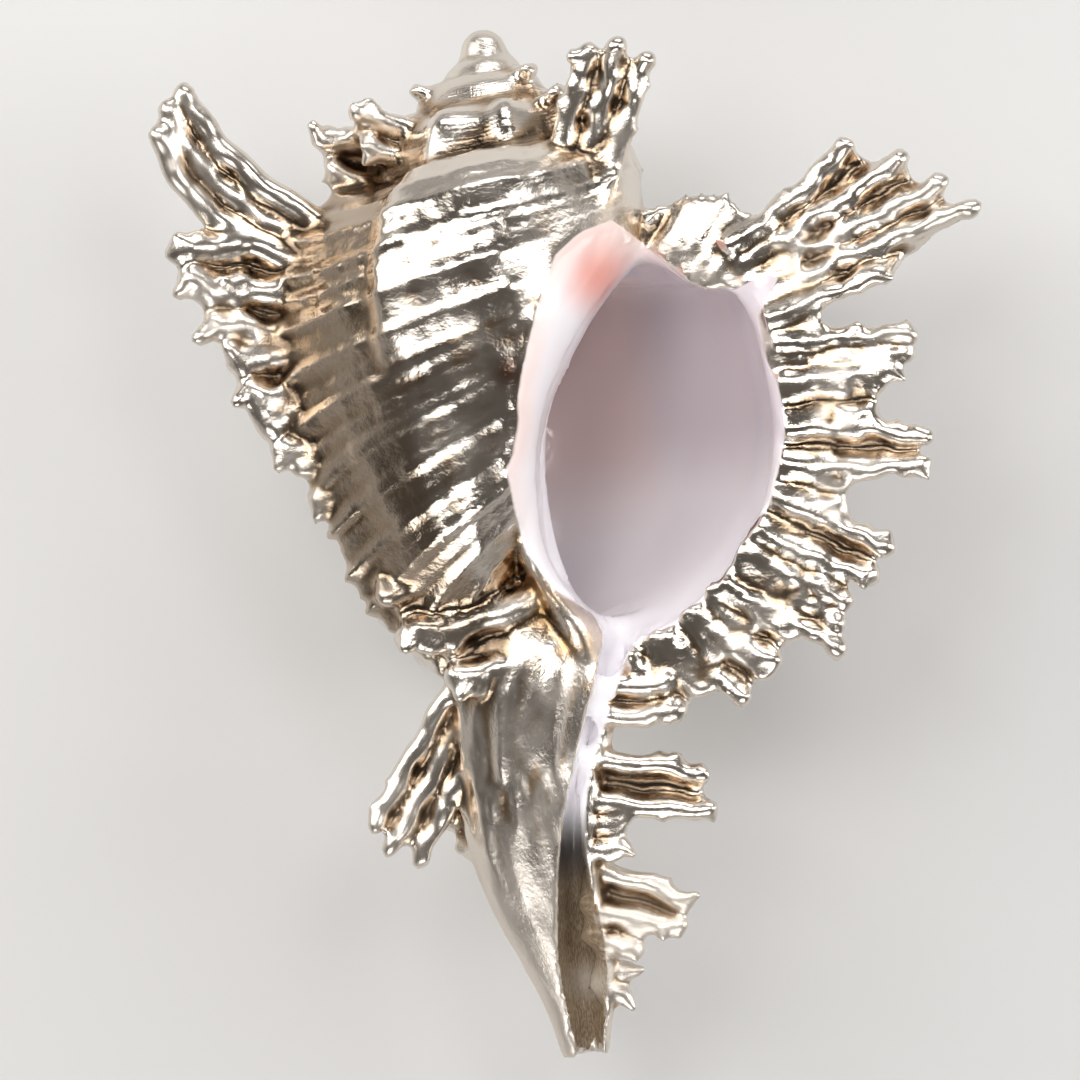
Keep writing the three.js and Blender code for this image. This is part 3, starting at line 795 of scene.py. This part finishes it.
write_attribute("mouth_depth", np.clip(depth, -8, 8))
write_attribute("fine_recess", np.clip(recesses[0] / 0.35, -1, 1))
write_attribute("broad_recess", np.clip(recesses[1] / 2.2, -1, 1))
write_attribute("down_the_axis", down)
write_attribute("beside_the_axis", right)
turns_at, station_at, off_whorl = on_whorls(place)
write_attribute("turns_back", turns_at)
write_attribute("station", station_at)
write_attribute("calm", calm)
write_attribute("off_whorl", np.clip(off_whorl, 0, 9))
streak_places = np.stack([down, np.radians(angle) * 25, out * 0.42], axis=1)
streak = mesh.attributes.new("along_the_fronds", "FLOAT_VECTOR", "POINT")
streak.data.foreach_set("vector", streak_places.astype(np.float32).ravel())

# Silver plate outside, porcelain inside, in one material that turns from one to the other at the rim.
# The plate is warmer and darker in the recesses; the porcelain is pink at the rim and tan far down the slit,
# with painted shade deep in the mouth, painted light at the mouth's lower end and a painted shadow in the
# slit.
MIX_A, MIX_B, MIX_RESULT = 6, 7, 2  # the colour sockets of a mix node
finish = bpy.data.materials.new("silvered_shell")
finish.use_nodes = True
tree = finish.node_tree
surface = tree.nodes["Principled BSDF"]


def node(kind, **settings):
    made = tree.nodes.new(kind)
    for key, value in settings.items():
        setattr(made, key, value)
    return made


def feed(socket, value):
    if isinstance(value, bpy.types.NodeSocket):
        tree.links.new(value, socket)
    else:
        socket.default_value = value


def attribute(name):
    return node("ShaderNodeAttribute", attribute_name=name).outputs["Fac"]


def vector_attribute(name):
    return node("ShaderNodeAttribute", attribute_name=name).outputs["Vector"]


def maths(operation, a, b=0.0, clamp=False):
    made = node("ShaderNodeMath", operation=operation, use_clamp=clamp)
    feed(made.inputs[0], a)
    feed(made.inputs[1], b)
    return made.outputs[0]


def ramp(value, low, high, to_low=0.0, to_high=1.0):
    made = node("ShaderNodeMapRange", interpolation_type="SMOOTHSTEP")
    for socket, given in zip(made.inputs, (value, low, high, to_low, to_high)):
        feed(socket, given)
    return made.outputs[0]


def mixed(share, a, b):
    made = node("ShaderNodeMix", data_type="RGBA")
    feed(made.inputs[0], share)
    feed(made.inputs[MIX_A], a)
    feed(made.inputs[MIX_B], b)
    return made.outputs[MIX_RESULT]


def cloud(scale, detail=3.0, roughness=0.5):
    made = node("ShaderNodeTexNoise")
    feed(made.inputs["Vector"], spot)
    made.inputs["Scale"].default_value = scale
    made.inputs["Detail"].default_value = detail
    made.inputs["Roughness"].default_value = roughness
    return made.outputs["Fac"]


spot = node("ShaderNodeTexCoord").outputs["Object"]
in_mouth = ramp(attribute("mouth_depth"), -0.25, 0.25)
fine = attribute("fine_recess")
broad = attribute("broad_recess")
down_axis = attribute("down_the_axis")
beside = attribute("beside_the_axis")

BRIGHT = (0.78, 0.71, 0.63, 1)
CHAMPAGNE = (0.52, 0.39, 0.27, 1)
TARNISH = (0.07, 0.045, 0.028, 1)
grime = maths("ADD", maths("MULTIPLY", fine, 0.9), maths("MULTIPLY", broad, 0.5))
grime = maths("ADD", grime, maths("MULTIPLY", maths("SUBTRACT", cloud(90, 4), 0.5), 0.9))
warm = mixed(ramp(grime, -0.35, 0.6), BRIGHT, CHAMPAGNE)
BRONZE = (0.42, 0.32, 0.225, 1)
wing = ramp(attribute("turns_back"), 0.705, 0.675)
wing = maths("MULTIPLY", wing, ramp(attribute("turns_back"), 0.54, 0.6))
wing = maths("MULTIPLY", wing, ramp(attribute("off_whorl"), 8, 4))
warm = mixed(maths("MULTIPLY", wing, 0.75), warm, BRONZE)
plate = mixed(ramp(grime, 0.4, 1.35, 0, 0.85), warm, TARNISH)

streaks = node("ShaderNodeTexNoise")
feed(streaks.inputs["Vector"], vector_attribute("along_the_fronds"))
streaks.inputs["Scale"].default_value = 0.95
streaks.inputs["Detail"].default_value = 5.0
PORCELAIN = (0.96, 0.93, 0.96, 1)
# The inner mouth's own mauve, darkened as painted shade for the deep cavity.
LAVENDER_WITH_PAINTED_SHADE = (0.70, 0.655, 0.71, 1)
PEACH = (0.92, 0.70, 0.64, 1)
CORAL = (0.86, 0.38, 0.32, 1)
CANAL_TAN = (0.30, 0.22, 0.13, 1)
height = node("ShaderNodeSeparateXYZ")
feed(height.inputs[0], spot)
# Deeper in the mouth the porcelain turns to the darker mauve: part its own colour, part painted shade. The
# lower end of the mouth is left white as painted light.
deep_mouth_mauve_and_shade = maths("MAXIMUM", ramp(height.outputs["Z"], 0.076, 0.052), ramp(beside, 22, 34))
deep_mouth_mauve_and_shade = maths("MULTIPLY", deep_mouth_mauve_and_shade, ramp(down_axis, 100, 82))
porcelain = mixed(deep_mouth_mauve_and_shade, PORCELAIN, LAVENDER_WITH_PAINTED_SHADE)
rim_pink = maths("MULTIPLY", ramp(attribute("mouth_depth"), 5.0, 0.2, 0, 0.75), ramp(down_axis, 112, 80))
rim_pink = maths("MULTIPLY", rim_pink, ramp(beside, 32, 20, 0.25, 1.0))
porcelain = mixed(rim_pink, porcelain, PEACH)


def blotch(down_at, beside_at, reach):
    a = maths("SUBTRACT", down_axis, down_at)
    b = maths("SUBTRACT", beside, beside_at)
    apart = maths("SQRT", maths("ADD", maths("MULTIPLY", a, a), maths("MULTIPLY", b, b)))
    return ramp(apart, reach, 0.0)


high_rim = ramp(height.outputs["Z"], 0.068, 0.080)
peach_patch = maths("MULTIPLY", maths("MULTIPLY", blotch(50, 22, 15), 0.75), high_rim)
porcelain = mixed(peach_patch, porcelain, PEACH)
coral_patch = maths("MULTIPLY", maths("MULTIPLY", blotch(53, 18, 11.5), 1.0), high_rim)
porcelain = mixed(coral_patch, porcelain, CORAL)
CANAL_STREAK = (0.16, 0.105, 0.06, 1)
CANAL_PALE = (0.62, 0.56, 0.48, 1)
# Colour of a painted shadow inside the slit.
CANAL_PAINTED_SHADOW = (0.085, 0.07, 0.06, 1)
GOLD_STAIN = (0.72, 0.40, 0.13, 1)
RUST = (0.28, 0.11, 0.05, 1)
stain = maths("MULTIPLY", maths("MULTIPLY", blotch(127, 5, 13), ramp(cloud(160, 4), 0.4, 0.6)), 0.6)
plate = mixed(stain, plate, GOLD_STAIN)
plate = mixed(maths("MULTIPLY", blotch(114, 1, 8), 0.45), plate, GOLD_STAIN)
plate = mixed(maths("MULTIPLY", blotch(70, -2, 5), 0.8), plate, RUST)
slit_streaks = ramp(streaks.outputs["Fac"], 0.35, 0.65)
tan = mixed(slit_streaks, CANAL_TAN, CANAL_STREAK)
tan = mixed(maths("MULTIPLY", blotch(193, 1.5, 6), 0.55), tan, CANAL_PALE)
# Painted shadow: the slit is darkened between about 156 and 176 mm down the axis, above its tan lower end.
tan = mixed(ramp(down_axis, 176, 166), tan, CANAL_PAINTED_SHADOW)
porcelain = mixed(maths("MULTIPLY", ramp(down_axis, 156, 166), 0.97), porcelain, tan)

feed(surface.inputs["Base Color"], mixed(in_mouth, plate, porcelain))
feed(surface.inputs["Metallic"], maths("SUBTRACT", 1.0, in_mouth))
silver_rough = maths("ADD", ramp(cloud(60, 3), 0.35, 0.7, 0.12, 0.26), ramp(down_axis, 150, 185, 0, 0.14))
silver_rough = maths("ADD", silver_rough, ramp(attribute("off_whorl"), 2, 5, 0, 0.08))
PORCELAIN_ROUGHNESS = 0.16
gloss = node("ShaderNodeMix", data_type="FLOAT")
feed(gloss.inputs[0], in_mouth)
feed(gloss.inputs[2], silver_rough)
feed(gloss.inputs[3], PORCELAIN_ROUGHNESS)
feed(surface.inputs["Roughness"], gloss.outputs[0])
SPIRAL_THREADS, GROWTH_THREADS = 47, 97  # over the whorl's edge, and in one turn
threads = maths("SINE", maths("MULTIPLY", attribute("station"), 2 * math.pi * SPIRAL_THREADS))
growth_angle = maths("MULTIPLY", attribute("turns_back"), 2 * math.pi * GROWTH_THREADS)
growth_threads = maths("SINE", growth_angle)
threads = maths("ADD", threads, maths("MULTIPLY", growth_threads, 0.25))
threads = maths("MULTIPLY", threads, maths("MULTIPLY", ramp(attribute("off_whorl"), 3.0, 1.5), 0.07))
wrinkles = maths("ADD", maths("MULTIPLY", cloud(520, 5, 0.65), 0.8), threads)
wrinkles = maths("ADD", wrinkles, maths("MULTIPLY", streaks.outputs["Fac"], 0.6))
wrinkles = maths("MULTIPLY", wrinkles, attribute("calm"))
BUMP_DISTANCE = 0.0005
BUMP_STRENGTH = 0.24
bump = node("ShaderNodeBump")
feed(bump.inputs["Strength"], maths("MULTIPLY", maths("SUBTRACT", 1.0, in_mouth), BUMP_STRENGTH))
bump.inputs["Distance"].default_value = BUMP_DISTANCE
feed(bump.inputs["Height"], wrinkles)
feed(surface.inputs["Normal"], bump.outputs[0])

mesh.materials.clear()
mesh.materials.append(finish)
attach(shell, "root")
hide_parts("shell")

# ---------------------------------------------------------------------------
# The stage: pale paper for the shell to lie on, soft panels of light, and a camera straight above it.
# None of it is part of the object.
# ---------------------------------------------------------------------------
FLOOR_SIDE = 12
PAPER_GREY = (0.66, 0.65, 0.64, 1)
ROOM_LOW = (0.52, 0.51, 0.50, 1)
ROOM_HIGH = (0.10, 0.093, 0.086, 1)
FADE_FROM, FADE_TO = 0.05, 0.42
SHELL_MIDDLE = (0, 0, 0.05)
LENS_LENGTH, SENSOR_WIDTH = 180, 36
FRAME_SIDE = 0.216
MOUTH_HEIGHT = 0.072

bpy.ops.mesh.primitive_plane_add(size=FLOOR_SIDE)
floor = bpy.context.object
floor.name = "floor"
paper = bpy.data.materials.new("paper")
paper.use_nodes = True
paper.node_tree.nodes["Principled BSDF"].inputs["Base Color"].default_value = PAPER_GREY
floor.data.materials.append(paper)

world = bpy.data.worlds.new("room")
bpy.context.scene.world = world
world.use_nodes = True
bpy.context.scene.view_settings.view_transform = "Standard"
room = world.node_tree
way = room.nodes.new("ShaderNodeTexCoord")
parts = room.nodes.new("ShaderNodeSeparateXYZ")
fade = room.nodes.new("ShaderNodeMapRange")
fade.interpolation_type = "SMOOTHSTEP"
shade = room.nodes.new("ShaderNodeMix")
shade.data_type = "RGBA"
shade.inputs[MIX_A].default_value = ROOM_LOW
shade.inputs[MIX_B].default_value = ROOM_HIGH
fade.inputs["From Min"].default_value = FADE_FROM
fade.inputs["From Max"].default_value = FADE_TO
room.links.new(way.outputs["Generated"], parts.inputs[0])
room.links.new(parts.outputs["Z"], fade.inputs["Value"])
room.links.new(fade.outputs[0], shade.inputs[0])
room.links.new(shade.outputs[MIX_RESULT], room.nodes["Background"].inputs["Color"])


def soft_light(name, place, aim, wide, tall, power, colour=(1, 1, 1)):
    lamp = bpy.data.lights.new(name, "AREA")
    lamp.shape = "RECTANGLE"
    lamp.size, lamp.size_y = wide, tall
    lamp.energy = power
    lamp.color = colour
    holder = bpy.data.objects.new(name, lamp)
    bpy.context.scene.collection.objects.link(holder)
    holder.location = place
    holder.rotation_euler = (Vector(aim) - Vector(place)).to_track_quat("-Z", "Y").to_euler()


soft_light("left_panel", (-0.66, 0.3, 0.6), SHELL_MIDDLE, 0.5, 0.75, 3.9, (1.0, 0.99, 0.97))
soft_light("right_panel", (0.7, 0.0, 0.5), SHELL_MIDDLE, 0.3, 0.8, 3.2)
soft_light("near_panel", (-0.1, -0.75, 0.62), SHELL_MIDDLE, 0.7, 0.35, 3.0)
soft_light("high_panel", (-0.24, 0.22, 0.95), SHELL_MIDDLE, 0.28, 0.28, 2.3)
soft_light("mouth_panel", (0.14, 0.24, 0.9), (0.01, 0, 0.05), 0.18, 0.18, 0.9)
soft_light("far_panel", (0.15, 0.8, 0.5), SHELL_MIDDLE, 0.8, 0.3, 3.2, (0.96, 0.98, 1.0))

lens = bpy.data.cameras.new("camera")
lens.lens = LENS_LENGTH
lens.sensor_width = SENSOR_WIDTH
camera = bpy.data.objects.new("camera", lens)
bpy.context.scene.collection.objects.link(camera)
distance = FRAME_SIDE * lens.lens / lens.sensor_width
camera.location = (-MIDDLE[0] * MM, -MIDDLE[1] * MM, MOUTH_HEIGHT + distance)
bpy.context.scene.camera = camera

bpy.context.view_layer.update()
